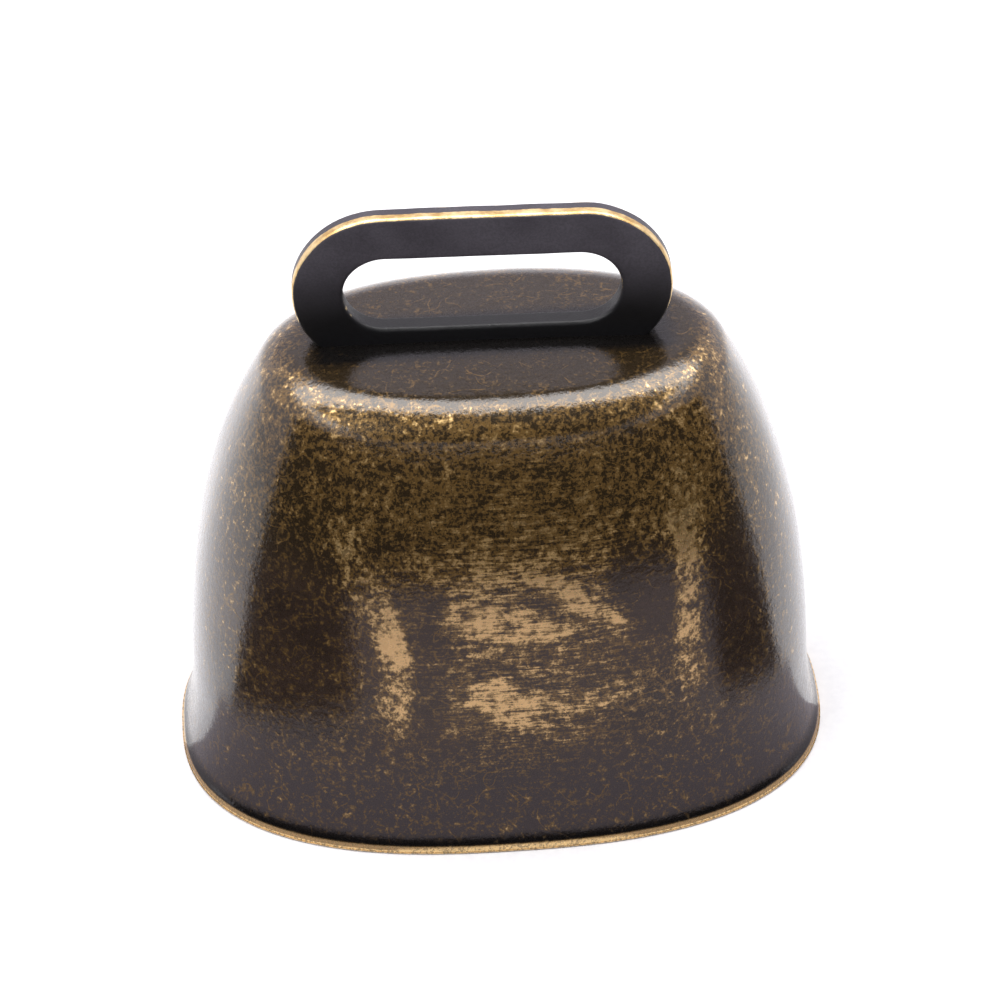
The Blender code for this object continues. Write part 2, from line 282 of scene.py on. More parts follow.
def shell_piece():
    """One closed sheet: down the inside, across the cut edge, up the outside and over the crown."""
    inside_from = 0.5 * MM
    work = bmesh.new()
    within = work.verts.layers.float.new("inside")
    angles = even_angles()
    outer, inner = sheet_faces(angles)
    inner = [row for row in inner if min(point.z for point in row) > inside_from]
    foot = [Vector((point.x, point.y, 0)) for point in inner[0]]
    rings = [ring_of(work, row) for row in list(reversed(inner)) + [foot] + cut_edge_rings(angles) + outer]
    loft(work, rings)
    middle = unevenness(Vector((0, 0, CROWN_Z)))
    hidden = cap(work, rings[0], (0, 0, CROWN_Z - SHEET + middle))
    cap(work, rings[-1], (0, 0, CROWN_Z + middle))
    for vertex in [hidden] + [vertex for ring in rings[: len(inner) + 1] for vertex in ring]:
        vertex[within] = 1.0
    return mesh_object("bell_shell_sheet", work, 50)


# ---------------------------------------------------------------- strap loop


def stadium(half_length, half_height):
    """(point, outward normal) pairs of a slot-shaped outline in X and Z."""
    round_steps, straight_steps = 40, 24
    straight = half_length - half_height
    ends = []
    for side, start in ((1, -pi / 2), (-1, pi / 2)):
        for angle in sweep(start, start + pi, round_steps):
            normal = Vector((cos(angle), 0, sin(angle)))
            ends.append((Vector((side * straight, 0, 0)) + normal * half_height, normal))
    pairs = []
    for i, (point, normal) in enumerate(ends):
        following = ends[(i + 1) % len(ends)][0]
        pairs.append((point, normal))
        if (following - point).length > half_height:
            shares = sweep(0.0, 1.0, straight_steps)[1:-1]
            pairs += [(point.lerp(following, share), normal) for share in shares]
    return pairs


def edge_section():
    """(inset, y) across the plate's edge from front to back, with both corners rounded."""
    half, front, back = LOOP_THICKNESS / 2, 0.40 * MM, 0.22 * MM
    turns = sweep(0.0, pi / 2, 6)
    section = [(front * (1 - sin(turn)), front * (1 - cos(turn)) - half) for turn in turns]
    section += [(0.0, y) for y in sweep(front - half, half - back, 10)[1:-1]]
    return section + [(back * (1 - sin(turn)), half - back * (1 - cos(turn))) for turn in reversed(turns)]


def rub_at(y):
    """How far the plate's edge is worn bright: fully over its front half, and again at the back corner."""
    from_front = between(y, -0.90 * MM, -0.80 * MM)
    to_middle = between(y, 0.05 * MM, -0.10 * MM)
    back = 0.45 * between(y, 0.70 * MM, 0.80 * MM)
    return max(from_front * to_middle, back)


def edge_rings(work, pairs, direction):
    """The plate's edge along an outline. Direction is 1 for the outside and -1 for the slot."""
    rub = work.verts.layers.float["rub"]
    rings = []
    for inset, y in edge_section():
        row = []
        for point, normal in pairs:
            wobble = lump(point, 3.5 * MM, 0.05 * MM, 2)
            row.append(point + normal * (wobble - direction * inset) + Vector((0, y, 0)))
        rings.append(ring_of(work, row))
        for vertex in rings[-1]:
            vertex[rub] = rub_at(y) * (1.0 if direction > 0 else 0.5)
    loft(work, rings)
    return rings


def loop_frame():
    """The loop stands a little off the middle and is turned slightly."""
    return Matrix.Translation((LOOP_X, 0, LOOP_Z)) @ Matrix.Rotation(LOOP_TWIST, 4, "Z")


def loop_piece():
    """The plate with rounded edges: both outlines' edges, joined across the two faces."""
    work = bmesh.new()
    work.verts.layers.float.new("rub")
    outer = edge_rings(work, stadium(LOOP_HALF_LENGTH, LOOP_HALF_HEIGHT), 1)
    inner = edge_rings(work, stadium(SLOT_HALF_LENGTH, SLOT_HALF_HEIGHT), -1)
    for end in (0, -1):
        middles = []
        for share in (0.25, 0.5, 0.75):
            row = [a.co.lerp(b.co, share) for a, b in zip(outer[end], inner[end])]
            middles.append(ring_of(work, row))
        loft(work, [outer[end], *middles, inner[end]])
    piece = mesh_object("strap_loop_plate", work, 50)
    piece.data.transform(loop_frame())
    return piece


def loop_braze_piece(name, face, end):
    """A run of braze in the corner between the crown and the loop: hollow-faced, lumpy, its ends run out."""
    near = LOOP_THICKNESS / 2 + GAP
    top = LOOP_Z - CROWN_Z + SHEET + GAP
    steps, hollow = 8, 0.92
    work = bmesh.new()
    rings = []
    for share in sweep(0.0, 1.0, 40):
        x = BRAZE_FROM + (BRAZE_TO - BRAZE_FROM) * share
        run_out = sqrt(max(1 - abs(2 * share - 1) ** 6, 0.03))
        level = -top - CROWN_DOME * (x / (RIM_HALF_WIDTH * (1 - SIDE_TAPER))) ** 2
        leg = BRAZE_LEG * run_out
        row = [Vector((end * x, face * near, level))]
        for j, turn in enumerate(sweep(0.0, pi / 2, steps)):
            across = 1 - hollow * sin(turn) if j < steps else 0.0
            down = 1 - hollow * cos(turn) if j else 0.0
            point = Vector((x, across * leg, down * leg))
            swell = 1 + lump(point + Vector((0, face, end)), 1.1 * MM, 0.12, 6)
            row.append(Vector((end * x, face * (near + across * leg * swell), level - down * leg * swell)))
        rings.append(ring_of(work, row))
    loft(work, rings)
    work.faces.new(rings[0])
    work.faces.new(rings[-1])
    piece = mesh_object(name, work, 60)
    piece.data.transform(loop_frame())
    return piece


# ---------------------------------------------------------------- staple and link


def tube_along(work, points, normals, radii, closed):
    """Rings of a round wire along points; normals lie across the path, in the plane that it bends in."""
    rings = []
    count = len(points)
    for i, (point, normal, radius) in enumerate(zip(points, normals, radii)):
        before = points[i - 1] if closed or i else point
        after = points[(i + 1) % count] if closed or i + 1 < count else point
        across = (after - before).normalized().cross(normal)
        row = []
        for turn in full_turn(WIRE_SIDES):
            out = normal * cos(turn) + across * sin(turn)
            row.append(point + out * (radius + lump(point + out * radius, 0.9 * MM, 0.02 * MM, 4)))
        rings.append(ring_of(work, row))
    loft(work, rings, closed)
    return rings


def staple_piece():
    """The U of wire, its ends buried in the braze under the crown."""
    bend_z = STAPLE_BAR_Z + STAPLE_HALF_WIDTH
    leg = sweep(STAPLE_HIGH.z, bend_z, 16)[:-1]
    points = [Vector((0, STAPLE_HALF_WIDTH, z)) for z in leg]
    normals = [Vector((0, 1, 0))] * len(leg)
    for angle in sweep(0.0, -pi, 48):
        out = Vector((0, cos(angle), sin(angle)))
        points.append(Vector((0, 0, bend_z)) + out * STAPLE_HALF_WIDTH)
        normals.append(out)
    points += [Vector((0, -STAPLE_HALF_WIDTH, z)) for z in reversed(leg)]
    normals += [Vector((0, -1, 0))] * len(leg)
    work = bmesh.new()
    rings = tube_along(work, points, normals, [STAPLE_WIRE / 2] * len(points), closed=False)
    work.faces.new(rings[0])
    work.faces.new(rings[-1])
    return mesh_object("clapper_staple_wire", work, 60)


def staple_braze_piece(name, side):
    """A lumpy collar of braze round the top of a staple leg."""
    hole, top = STAPLE_WIRE / 2 + 0.1 * MM, STAPLE_HIGH.z - 0.15 * MM
    shoulder, foot = 0.08 * MM, 0.05 * MM
    profile = [(hole, top), (BEAD_RADIUS, top - shoulder)]
    for turn in sweep(0.0, pi / 2, 8)[1:]:
        radius = BEAD_RADIUS - (BEAD_RADIUS - hole - foot) * sin(turn)
        profile.append((radius, top - shoulder - (BEAD_HEIGHT - shoulder) * (1 - cos(turn))))
    profile.append((hole, top - BEAD_HEIGHT))
    work = bmesh.new()
    rings = []
    for radius, z in profile:
        row = []
        for turn in full_turn(48):
            swell = lump(Vector((cos(turn), sin(turn), side)) * MM, 0.8 * MM, 0.16 * MM, 5) * (radius > hole)
            out = Vector((cos(turn), sin(turn), 0)) * max(radius + swell * (radius / BEAD_RADIUS), hole)
            row.append(Vector((0, side * STAPLE_HALF_WIDTH, z)) + out)
        rings.append(ring_of(work, row))
    loft(work, rings, closed=True)
    return mesh_object(name, work, 60)


def link_piece():
    """The ring of wire, with the swelling of its butt weld at one side."""
    weld_reach, weld_height = 0.7 * MM, 0.16 * MM
    points, normals, radii = [], [], []
    for angle in full_turn(120):
        out = Vector((cos(angle), 0, sin(angle)))
        points.append(Vector((0, 0, LINK_Z)) + out * LINK_RADIUS)
        normals.append(out)
        from_weld = abs(angle - pi) * LINK_RADIUS
        weld = between(from_weld, weld_reach, 0.0)
        radii.append(LINK_WIRE / 2 + weld_height * weld * (2 - weld))
    work = bmesh.new()
    tube_along(work, points, normals, radii, closed=True)
    return mesh_object("swing_link_ring", work, 60)


# ---------------------------------------------------------------- clapper


def rod_stations():
    """(point, radius) up the wire: peened head, shaft, the bend to one side, then round the eye."""
    head_top = BALL_Z - sqrt(BALL_RADIUS**2 - BALL_BORE**2) - GAP
    low, dome = head_top - HEAD_HEIGHT, 0.75 * HEAD_HEIGHT
    stations = []
    for turn in sweep(0.0, pi / 2, 7)[1:]:
        stations.append((Vector((0, 0, low + dome * (1 - cos(turn)))), HEAD_RADIUS * sin(turn)))
    stations.append((Vector((0, 0, head_top - 0.05 * MM)), HEAD_RADIUS))
    stations.append((Vector((0, 0, head_top)), 0.95 * HEAD_RADIUS))
    stations.append((Vector((0, 0, head_top + 0.01 * MM)), ROD_WIRE / 2))
    bend_z = EYE_Z - EYE_RADIUS - 2.2 * MM
    stations += [(Vector((0, 0, z)), ROD_WIRE / 2) for z in sweep(head_top, bend_z, 24)[1:]]
    start, stop = radians(-55), radians(242)
    joined = Vector((0, EYE_RADIUS * cos(start), EYE_Z + EYE_RADIUS * sin(start)))
    heading = Vector((0, -sin(start), cos(start)))
    foot = Vector((0, 0, bend_z))
    handles = foot + Vector((0, 0, 1.3 * MM)), joined - heading * 1.2 * MM
    curve = geometry.interpolate_bezier(foot, *handles, joined, 14)
    stations += [(point, ROD_WIRE / 2) for point in curve[1:]]
    for angle in sweep(start, stop, 90)[1:]:
        point = Vector((0, EYE_RADIUS * cos(angle), EYE_Z + EYE_RADIUS * sin(angle)))
        stations.append((point, ROD_WIRE / 2))
    return stations


def rod_piece():
    """The clapper's wire, bent into an eye at the top and peened into a head below the ball."""
    stations = rod_stations()
    points = [point for point, radius in stations]
    normals = []
    for i, point in enumerate(points):
        along = points[min(i + 1, len(points) - 1)] - points[max(i - 1, 0)]
        normals.append(Vector((0, along.z, -along.y)).normalized())
    work = bmesh.new()
    rings = tube_along(work, points, normals, [radius for point, radius in stations], closed=False)
    cap(work, rings[0], points[0] - Vector((0, 0, 0.01 * MM)))
    work.faces.new(rings[-1])
    return mesh_object("clapper_rod_wire", work, 50)


def ball_piece():
    """The ball, its drilled hole chamfered at both ends, dented a little by use."""
    chamfer = 0.25 * MM
    tip = asin((BALL_BORE + chamfer) / BALL_RADIUS)
    polars = sweep(tip, pi - tip, 64)
    profile = [(BALL_RADIUS * sin(polar), BALL_RADIUS * cos(polar)) for polar in polars]
    end = profile[0][1] - chamfer
    profile = [(BALL_BORE, end)] + profile + [(BALL_BORE, z) for z in sweep(-end, end, 8)[:-1]]
    work = bmesh.new()
    rings = []
    for radius, z in profile:
        row = []
        for turn in full_turn(96):
            point = Vector((radius * cos(turn), radius * sin(turn), z))
            dent = lump(point, 1.8 * MM, 0.05 * MM, 7) if radius > BALL_BORE else 0.0
            row.append(point * (1 + min(dent, 0) / BALL_RADIUS) + Vector((0, 0, BALL_Z)))
        rings.append(ring_of(work, row))
    loft(work, rings, closed=True)
    return mesh_object("clapper_ball_steel", work, 40)


# ---------------------------------------------------------------- materials


class Nodes:
    """A material's node tree, with short calls for the nodes used here."""

    def __init__(self, name):
        self.material = bpy.data.materials.new(name)
        self.material.use_nodes = True
        self.tree = self.material.node_tree
        self.shader = self.tree.nodes["Principled BSDF"]
        self.place = self.new("ShaderNodeTexCoord").outputs["Object"]
        self.axes = self.new("ShaderNodeSeparateXYZ")
        self.feed(self.axes.inputs[0], self.place)

    def new(self, kind, **settings):
        node = self.tree.nodes.new(kind)
        for key, value in settings.items():
            setattr(node, key, value)
        return node

    def feed(self, socket, value):
        if isinstance(value, bpy.types.NodeSocket):
            self.tree.links.new(value, socket)
        else:
            socket.default_value = value

    def shade(self, name, value):
        """Set an input of the surface shader to a number, a colour or another node's output."""
        self.feed(self.shader.inputs[name], value)

    def math(self, operation, a, b=0.0):
        node = self.new("ShaderNodeMath", operation=operation)
        self.feed(node.inputs[0], a)
        self.feed(node.inputs[1], b)
        return node.outputs[0]

    def add(self, *values):
        total = values[0]
        for value in values[1:]:
            total = self.math("ADD", total, value)
        return total

    def times(self, *values):
        total = values[0]
        for value in values[1:]:
            total = self.math("MULTIPLY", total, value)
        return total

    def rest(self, share):
        """What a share leaves of one."""
        return self.add(1.0, self.times(share, -1.0))

    def absolute(self, value):
        return self.math("ABSOLUTE", value)

    def ramp(self, value, low, high, to_low=0.0, to_high=1.0):
        """A smooth change from to_low, where the value is low, to to_high, where it is high."""
        node = self.new("ShaderNodeMapRange", interpolation_type="SMOOTHSTEP")
        for socket, given in zip(node.inputs, (value, low, high, to_low, to_high)):
            self.feed(socket, given)
        return node.outputs[0]

    def noise(self, size, detail=3.0, roughness=0.6, stretch=(1, 1, 1), offset=(0, 0, 0)):
        """Noise from 0 to 1 with features about size across, longer along axes with a stretch over 1."""
        mapping = self.new("ShaderNodeMapping")
        self.feed(mapping.inputs["Vector"], self.place)
        mapping.inputs["Scale"].default_value = [1 / (size * share) for share in stretch]
        mapping.inputs["Location"].default_value = offset
        node = self.new("ShaderNodeTexNoise")
        self.feed(node.inputs["Vector"], mapping.outputs[0])
        node.inputs["Scale"].default_value = 1.0
        node.inputs["Detail"].default_value = detail
        node.inputs["Roughness"].default_value = roughness
        return self.ramp(node.outputs["Fac"], 0.3, 0.7)

    def axis(self, name):
        return self.axes.outputs[name]

    def stored(self, name):
        return self.new("ShaderNodeAttribute", attribute_name=name).outputs["Fac"]

    def mix(self, share, a, b):
        node = self.new("ShaderNodeMix", data_type="RGBA")
        self.feed(node.inputs["Factor"], share)
        self.feed(node.inputs["A"], a)
        self.feed(node.inputs["B"], b)
        return node.outputs["Result"]

    def bump(self, height, distance, strength):
        node = self.new("ShaderNodeBump")
        node.inputs["Strength"].default_value = strength
        node.inputs["Distance"].default_value = distance
        self.feed(node.inputs["Height"], height)
        return node.outputs["Normal"]


def rgb(red, green, blue):
    """An sRGB colour, 0 to 255, as the linear colour that a shader takes."""
    linear = []
    for value in (red, green, blue):
        share = value / 255
        linear.append(share / 12.92 if share <= 0.04045 else ((share + 0.055) / 1.055) ** 2.4)
    return (*linear, 1.0)


def oval(look, x, z, width, height, lean=0.0):
    """1 in the middle of an oval on the bell's face, 0 outside it. The back is the front turned round."""
    facing = look.times(look.axis("X"), look.math("SIGN", look.axis("Y")), -1.0)
    rise = look.add(look.axis("Z"), -z)
    across = look.add(facing, -x, look.times(rise, -lean))
    square = look.add(
        look.math("POWER", look.absolute(look.times(across, 1 / width)), 2.0),
        look.math("POWER", look.absolute(look.times(rise, 1 / height)), 2.0),
    )
    return look.ramp(square, 1.5, 0.0)


# Rubbed and kept patches on the face, in mm: across, up, half width, half height, lean, strength. The kept
# table's last two rows are painted dark reflections down the rounded corners.
RUBBED = (
    (-12.9, 29.0, 1.9, 7.5, -0.35, 0.68),
    (-10.8, 20.5, 1.8, 8.0, 0.0, 0.75),
    (-1.3, 26.3, 5.5, 2.4, -1.5, 0.80),
    (6.3, 28.0, 2.0, 3.6, -1.2, 0.75),
    (1.5, 34.0, 13.0, 6.0, 0.0, 0.22),
    (-2.5, 31.7, 6.0, 1.4, 0.5, 0.35),
    (0.3, 16.6, 4.2, 3.8, -0.8, 0.70),
    (9.5, 17.4, 3.6, 2.2, 1.0, 0.50),
    (1.5, 22.0, 11.0, 11.0, 0.0, 0.38),
    (16.3, 24.5, 1.4, 10.5, 0.0, 0.95),
    (16.1, 34.5, 2.2, 6.0, 0.0, 0.40),
)
KEPT_AND_DARK_BANDS = (
    (-7.5, 21.5, 2.0, 9.0, 0.0, 0.30),
    (12.2, 29.0, 3.2, 6.5, -0.2, 0.55),
    # Painted reflection: these two rows darken the rounded corners as dark bands of the studio would.
    (-19.5, 27.0, 4.5, 16.0, 0.0, 0.38),
    (20.6, 25.0, 2.6, 13.0, 0.0, 0.45),
)


def patches(look, rows):
    """The ovals of all rows together, each by its strength."""
    shares = []
    for *place, lean, strength in rows:
        shares.append(look.times(oval(look, *(size * MM for size in place), lean), strength))
    return look.add(*shares)


def rubbing(look, ragged):
    """How far the patina has been rubbed off: the patches, the upper wall and the turn of the shoulder, less
    where it is kept and where dark reflections are painted down the rounded corners.
    """
    height = look.axis("Z")
    rubbed = look.add(
        patches(look, RUBBED),
        look.times(look.ramp(height, 27 * MM, 35 * MM), 0.26),
        look.times(look.ramp(height, 42.0 * MM, 43.2 * MM), 0.12),
    )
    # Kept patina, together with painted dark reflections down the rounded corners.
    kept_and_dark_bands = look.add(
        patches(look, KEPT_AND_DARK_BANDS),
        look.times(look.ramp(height, 14 * MM, 5 * MM), 0.26),
        look.times(look.ramp(look.absolute(look.axis("X")), 21 * MM, 25 * MM), 0.16),
        look.times(look.ramp(height, 44.9 * MM, 45.4 * MM), 0.85),
    )
    edges = look.times(look.add(ragged, -0.5), 0.9)
    return look.add(rubbed, 0.38, look.times(kept_and_dark_bands, -1.0), look.times(edges, look.add(0.25, rubbed)))


def hairlines(look):
    """Sparse curling scratches, thin as hairs."""
    lines = []
    for size, seed in ((5.0 * MM, 9), (3.2 * MM, 2)):
        track = look.noise(size, 1, 0.4, offset=(seed, 4, 6))
        lines.append(look.ramp(look.absolute(look.add(track, -0.5)), 0.04, 0.0))
    gaps = look.noise(2.2 * MM, 2, 0.5, offset=(1, 8, 3))
    return look.times(look.math("MAXIMUM", *lines), gaps)


def brushing(look):
    """Level streaks in the middle of the face, and mottling elsewhere."""
    streaks = look.noise(0.24 * MM, 3, 0.6, stretch=(9, 9, 1), offset=(1, 5, 2))
    mottle = look.noise(0.5 * MM, 3, 0.7, stretch=(1, 1, 1.4), offset=(4, 9, 2))
    middle = oval(look, 1.5 * MM, 25 * MM, 13 * MM, 20 * MM)
    return look.add(look.times(streaks, middle), look.times(mottle, look.rest(middle)))


def bronze_painted_shade(look, outside):
    """Painted shade in the crease above the cut edge, and a painted shadow and reflection of the loop on the
    crown round its foot.
    """
    height = look.axis("Z")
    # Painted shade: darker in the crease just above the cut edge.
    crease_shade = look.times(look.ramp(height, 2.4 * MM, CUT_EDGE + 0.2 * MM), outside)
    # Painted shadow and reflection of the loop on the crown, round the loop's foot.
    loop_foot_shadow = look.times(
        look.ramp(look.absolute(look.axis("Y")), 4.2 * MM, 2.6 * MM),
        look.ramp(look.absolute(look.axis("X")), 17.5 * MM, 15.5 * MM),
        look.ramp(height, 44 * MM, 45 * MM),
    )
    return look.math("MAXIMUM", crease_shade, loop_foot_shadow)


def bronze_patina(look, grain, painted_shade, bareness):
    """Cloudy dark brown, greyer towards the lip, yellower above, near black where shade is painted and
    lighter where thin.
    """
    height = look.axis("Z")
    clouds = look.noise(8 * MM, 3, 0.5, offset=(2, 7, 4))
    patina = look.mix(clouds, rgb(41, 31, 25), rgb(56, 43, 35))
    patina = look.mix(look.times(grain, 0.6), patina, rgb(30, 22, 14))
    patina = look.mix(look.ramp(height, 16 * MM, 5 * MM), patina, rgb(46, 39, 39))
    patina = look.mix(look.ramp(height, 26 * MM, 36 * MM), patina, rgb(37, 28, 15))
    # Painted shade: near black in the lip's crease and round the loop's foot.
    patina = look.mix(painted_shade, patina, rgb(13, 11, 10))
    thin = look.times(look.ramp(bareness, 0.56, 0.86), look.rest(painted_shade))
    return look.mix(thin, patina, rgb(82, 62, 31))


def antique_bronze():
    """Dark patina rubbed back to brass in brushed streaks and grains, under a clear lacquer."""
    look = Nodes("antique_bronze_sheet")
    height = look.axis("Z")
    inside = look.stored("inside")
    outside = look.rest(inside)
    grain = look.noise(0.30 * MM, 3, 0.7)
    brushed = brushing(look)
    clump = look.noise(0.8 * MM, 3, 0.6, offset=(3, 1, 8))
    ragged = look.noise(2.4 * MM, 4, 0.7, stretch=(1.4, 1.4, 1), offset=(6, 2, 3))
    speckle = look.add(
        look.times(grain, 0.40),
        look.times(brushed, 0.36),
        look.times(clump, 0.24),
        look.times(hairlines(look), 0.42),
    )
    wear = look.times(rubbing(look, ragged), look.ramp(inside, 0.0, 1.0, 1.0, 0.25))
    bareness = look.add(speckle, look.times(wear, 0.34))
    # Painted shade in the lip's crease and round the loop's foot; it also holds the brass back there.
    painted_shade = bronze_painted_shade(look, outside)
    cut_edge = look.times(look.ramp(height, CUT_EDGE + 0.15 * MM, CUT_EDGE - 0.05 * MM), outside)
    brass = look.times(look.ramp(bareness, 0.75, 1.22), look.add(1.0, look.times(painted_shade, -0.9)))
    brass = look.math("MAXIMUM", brass, look.times(cut_edge, look.ramp(grain, 0.2, 0.55, 0.35, 1.0)))

    freshness = look.add(wear, look.times(look.add(clump, brushed, -1.0), 1.2))
    duller_above = look.ramp(height, 31 * MM, 38 * MM, 0.0, -0.4)
    core = look.math("MAXIMUM", look.add(freshness, duller_above), look.times(cut_edge, 1.5))
    metal = look.mix(look.ramp(core, 0.45, 1.9), rgb(100, 75, 38), rgb(252, 212, 146))
    look.shade("Base Color", look.mix(brass, bronze_patina(look, grain, painted_shade, bareness), metal))
    look.shade("Metallic", look.ramp(brass, 0.0, 1.0, 0.45, 1.0))
    look.shade("Roughness", look.ramp(speckle, 0.2, 0.9, 0.24, 0.36))
    look.shade("Specular IOR Level", 0.2)
    look.shade("Coat Weight", 1.0)
    look.shade("Coat Roughness", 0.09)
    relief = look.add(look.times(speckle, 0.7), look.times(brass, -0.3))
    look.shade("Normal", look.bump(relief, 0.03 * MM, 0.6))
    look.shade("Coat Normal", look.bump(look.add(clump, look.times(grain, 0.4)), 0.017 * MM, 0.7))
    return look.material


def charcoal_plate():
    """Satin charcoal, rubbed through to bright brass along the edges that stick out."""
    look = Nodes("charcoal_loop_plate")
    grain = look.noise(0.22 * MM, 3, 0.65)
    patch = look.noise(1.4 * MM, 3, 0.6, offset=(4, 4, 1))
    clouds = look.noise(5 * MM, 3, 0.5, offset=(1, 6, 2))
    handled = look.ramp(look.axis("Z"), LOOP_Z - 5 * MM, LOOP_Z + 1 * MM, 0.35, 1.0)
    rub = look.times(look.stored("rub"), handled)
    brass = look.ramp(look.add(rub, look.times(look.add(patch, -0.5), 0.35)), 0.42, 0.62)
    dark = look.mix(clouds, rgb(50, 47, 53), rgb(62, 59, 65))
    dark = look.mix(look.ramp(look.axis("Z"), 56 * MM, 48 * MM), dark, rgb(12, 12, 14))
    dark = look.mix(look.times(grain, 0.3), dark, rgb(16, 15, 16))
    metal = look.mix(patch, rgb(196, 160, 104), rgb(240, 214, 162))
    look.shade("Base Color", look.mix(brass, dark, metal))
    look.shade("Metallic", look.ramp(brass, 0.0, 1.0, 0.1, 1.0))
    look.shade("Roughness", look.ramp(grain, 0.0, 1.0, 0.36, 0.46))
    look.shade("Normal", look.bump(look.add(grain, look.times(patch, 0.5)), 0.02 * MM, 0.5))
    return look.material


def drawn_wire(name, dark, bright, shine, seed):
    """Steel wire, mottled dark and bright, with a little brown rust."""
    look = Nodes(name)
    grain = look.noise(0.20 * MM, 3, 0.7, offset=(seed, 0, 0))
    patch = look.noise(1.6 * MM, 4, 0.6, offset=(0, seed, 0))
    rust = look.noise(0.9 * MM, 4, 0.7, offset=(0, 0, seed))
    colour = look.mix(look.ramp(look.add(patch, look.times(grain, 0.4)), 0.5, 1.1), dark, bright)
    colour = look.mix(look.ramp(rust, 0.72, 0.95, 0.0, 0.6), colour, rgb(92, 58, 36))
    look.shade("Base Color", colour)
    look.shade("Metallic", look.ramp(rust, 0.7, 0.95, 1.0, 0.55))
    look.shade("Roughness", look.ramp(look.add(grain, rust), 0.4, 1.6, shine, shine + 0.25))
    look.shade("Normal", look.bump(look.add(grain, look.times(patch, 0.6)), 0.03 * MM, 0.6))
    return look.material


def braze_metal():
    """Yellow braze, rippled, with dark flux stains in its hollows."""
    look = Nodes("braze_metal")
    ripple = look.noise(0.5 * MM, 3, 0.6, offset=(5, 2, 9))
    stain = look.noise(1.0 * MM, 4, 0.65, offset=(8, 3, 1))
    colour = look.mix(ripple, rgb(158, 122, 62), rgb(206, 172, 98))
    look.shade("Base Color", look.mix(look.ramp(stain, 0.55, 0.9), colour, rgb(52, 38, 27)))
    look.shade("Metallic", look.ramp(stain, 0.55, 0.9, 1.0, 0.4))
    look.shade("Roughness", look.ramp(stain, 0.2, 0.9, 0.34, 0.6))
    look.shade("Normal", look.bump(ripple, 0.06 * MM, 0.7))
    return look.material


def ball_steel():
    """Grey steel ball: fine turned lines, pits, and a brighter belt where it strikes the wall."""
    look = Nodes("ball_steel")
    turned = look.noise(0.16 * MM, 2, 0.6, stretch=(12, 12, 1))
    pits = look.noise(0.7 * MM, 4, 0.7, offset=(2, 8, 5))
    clouds = look.noise(3.5 * MM, 3, 0.5, offset=(7, 1, 3))
    belt = look.ramp(look.absolute(look.add(look.axis("Z"), -BALL_Z)), 3.2 * MM, 1.2 * MM)
    shine = look.add(look.times(clouds, 0.45), look.times(belt, 0.5))
    colour = look.mix(shine, rgb(96, 93, 90), rgb(172, 170, 167))
    look.shade("Base Color", look.mix(look.ramp(pits, 0.74, 0.92), colour, rgb(58, 46, 38)))
    look.shade("Metallic", look.ramp(pits, 0.74, 0.92, 1.0, 0.6))
    look.shade("Roughness", look.ramp(shine, 0.0, 1.0, 0.42, 0.22))
    relief = look.add(look.times(turned, 0.3), look.times(look.ramp(pits, 0.7, 0.95), -1.0))
    look.shade("Normal", look.bump(relief, 0.04 * MM, 0.6))
    return look.material


# ---------------------------------------------------------------- stage


def make_camera():
    """A long lens well above the bell and a little to its left, rolled slightly."""
    elevation, turn, roll = radians(39.21), radians(-3.656), radians(-1.14)
    aim, distance = Vector((0.37, 0, 25.88)) * MM, 416.2 * MM
    camera = bpy.data.cameras.new("camera")
    camera.lens = 159.6
    camera.sensor_width = 36
    camera.clip_start = 0.01
    obj = bpy.data.objects.new("camera", camera)
    bpy.context.scene.collection.objects.link(obj)
    away = Vector((sin(turn) * cos(elevation), -cos(turn) * cos(elevation), sin(elevation)))
    facing = away.to_track_quat("Z", "Y").to_matrix().to_4x4()
    obj.matrix_world = Matrix.Translation(aim + away * distance) @ facing @ Matrix.Rotation(roll, 4, "Z")
    bpy.context.scene.camera = obj


def area_light(name, place, aim, size, power):
    light = bpy.data.lights.new(name, "AREA")
    light.shape = "RECTANGLE"
    light.size, light.size_y = size
    light.energy = power
    obj = bpy.data.objects.new(name, light)
    obj.location = place
    obj.rotation_euler = (Vector(aim) - Vector(place)).to_track_quat("-Z", "Y").to_euler()
    bpy.context.scene.collection.objects.link(obj)


def gloss_card(name, tone, work):
    """A card of felt that only the metal's gloss sees."""
    card = mesh_object(name, work)
    look = Nodes(name + "_felt")
    look.shade("Base Color", look.mix(look.times(look.noise(2 * MM), 0.1), tone, rgb(24, 22, 22)))
    look.shade("Roughness", 0.9)
    look.shade("Specular IOR Level", 0.1)
    card.data.materials.append(look.material)
    card.visible_camera = False
    card.visible_diffuse = False
    card.visible_shadow = False


def floor_card(name, tone, turn_from, turn_to, near, far, height):
    """A card on the floor from near to far, then standing up. Turns go from the front, -Y, towards +X."""
    lie, steps = 0.4 * MM, 12
    turns = sweep(radians(turn_from), radians(turn_to), steps)
    work = bmesh.new()
    rows = []
    for reach, z in ((near, lie), (far, lie), (far, height)):
        rows.append(ring_of(work, [Vector((reach * sin(turn), -reach * cos(turn), z)) for turn in turns]))
    for lower, upper in zip(rows, rows[1:]):
        for k in range(steps):
            work.faces.new((lower[k], lower[k + 1], upper[k + 1], upper[k]))
    gloss_card(name, tone, work)


def flat_card(name, tone, half_width, first_edge, second_edge):
    """A rectangular card between two level edges, each given as (y, z)."""
    work = bmesh.new()
    near = [work.verts.new((side * half_width, *first_edge)) for side in (-1, 1)]
    far = [work.verts.new((side * half_width, *second_edge)) for side in (1, -1)]
    work.faces.new(near + far)
    gloss_card(name, tone, work)


def make_floor():
    work = bmesh.new()
    bmesh.ops.create_grid(work, x_segments=1, y_segments=1, size=1.5)
    floor = mesh_object("floor", work)
    look = Nodes("pale_floor")
    look.shade("Base Color", look.mix(look.noise(1 * MM), rgb(184, 184, 185), rgb(189, 189, 189)))
    look.shade("Roughness", 0.9)
    floor.data.materials.append(look.material)


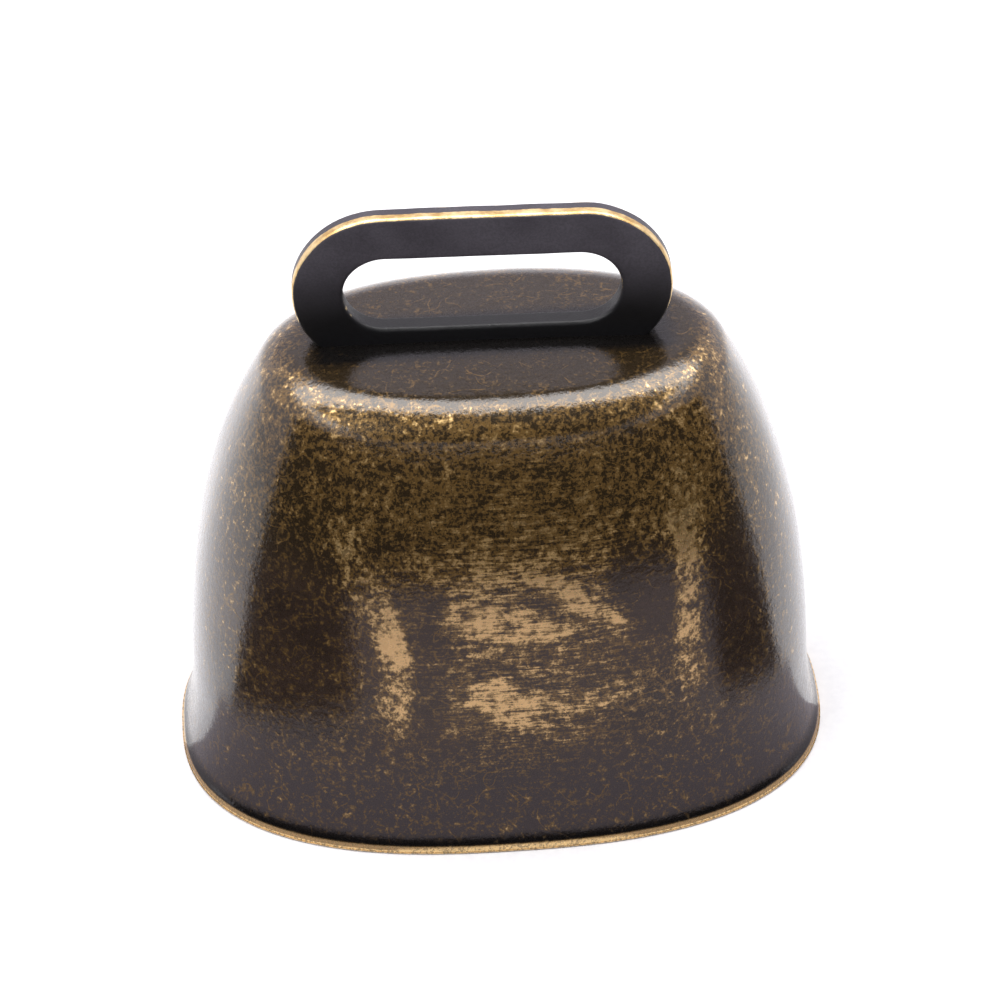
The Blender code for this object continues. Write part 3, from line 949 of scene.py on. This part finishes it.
def make_cards():
    """The dark and grey parts of the studio that the bell's gloss shows."""
    black, grey, pale = rgb(18, 16, 16), rgb(126, 121, 125), rgb(160, 156, 162)
    floor_card("card_left", black, -78, -33, 42 * MM, 350 * MM, 200 * MM)
    floor_card("card_right", black, 53, 80, 42 * MM, 350 * MM, 200 * MM)
    floor_card("card_near", grey, -85, 85, 23 * MM, 41.5 * MM, 0.5 * MM)
    floor_card("card_front", grey, -33, 53, 42 * MM, 110 * MM, 0.5 * MM)
    floor_card("card_behind_camera", black, -33, 53, 110.5 * MM, 400 * MM, 240 * MM)
    flat_card("card_overhead", black, 250 * MM, (-400 * MM, 300 * MM), (-14 * MM, 300 * MM))
    flat_card("card_back", pale, 300 * MM, (350 * MM, 110 * MM), (350 * MM, 600 * MM))


def make_lights():
    """A pale studio all round, one large softbox overhead and a small key light from the left."""
    world = bpy.data.worlds.new("studio")
    world.use_nodes = True
    background = world.node_tree.nodes["Background"]
    background.inputs["Color"].default_value = (0.97, 0.93, 1.0, 1)
    background.inputs["Strength"].default_value = 1.1
    bpy.context.scene.world = world
    bpy.context.scene.view_settings.view_transform = "Standard"
    area_light("softbox", (0, 0.02, 0.5), (0, 0.02, 0), (1.0, 0.4), 7.2)
    area_light("key", (-0.28, -0.22, 0.45), (0, 0, 0.02), (0.22, 0.22), 0.9)


# ---------------------------------------------------------------- build


def build_bell():
    dress(shell_piece(), "bell", "bronze_shell", antique_bronze(), "bell_shell")
    dress(loop_piece(), "bell", "charcoal_loop", charcoal_plate(), "strap_loop")
    staple = drawn_wire("staple_wire_steel", rgb(58, 50, 44), rgb(112, 104, 96), 0.34, 1)
    dress(staple_piece(), "bell", "staple_wire", staple, "clapper_staple")
    braze = braze_metal()
    for place, side in (("front", -1), ("back", 1)):
        collar = "staple_braze_" + place
        dress(staple_braze_piece(collar + "_collar", side), "bell", "braze", braze, collar)
        for hand, end in (("left", -1), ("right", 1)):
            run = f"loop_braze_{place}_{hand}"
            dress(loop_braze_piece(run + "_run", side, end), "bell", "braze", braze, run)


def build_clapper():
    link = drawn_wire("link_wire_steel", rgb(84, 80, 76), rgb(148, 144, 140), 0.30, 2)
    rod = drawn_wire("rod_wire_steel", rgb(78, 72, 66), rgb(140, 134, 126), 0.30, 3)
    dress(link_piece(), "link", "link_wire", link, "swing_link")
    dress(rod_piece(), "clapper", "rod_wire", rod, "clapper_rod")
    dress(ball_piece(), "clapper", "ball_steel", ball_steel(), "clapper_ball")


build_bell()
build_clapper()
make_floor()
make_cards()
make_lights()
make_camera()
